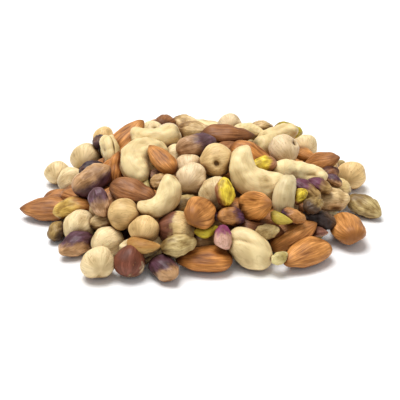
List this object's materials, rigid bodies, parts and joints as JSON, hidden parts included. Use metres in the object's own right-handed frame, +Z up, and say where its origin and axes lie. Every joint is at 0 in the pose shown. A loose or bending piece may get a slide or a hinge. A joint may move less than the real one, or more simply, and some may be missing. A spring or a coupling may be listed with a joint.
{
  "type": "heap of mixed nuts",
  "caption": "Loose heap of shelled mixed nuts lying on a flat surface: skin-on almonds, cashews, blanched hazelnuts and pistachio kernels with slivers and fragments between them.",
  "frame": {"origin": "on the surface the heap lies on, below the middle of its box", "axes": "+X to the right along the heap's longest side, +Y to its back, +Z up"},
  "size_m": [0.1556, 0.1457, 0.0351],
  "materials": {
    "mixed_nuts": "dry nut kernels: thin brown and purple skins, cream and yellow-green flesh, satin"
  },
  "bodies": {
    "root": {"nut_heap": "mixed_nuts"}
  },
  "joints": []
}
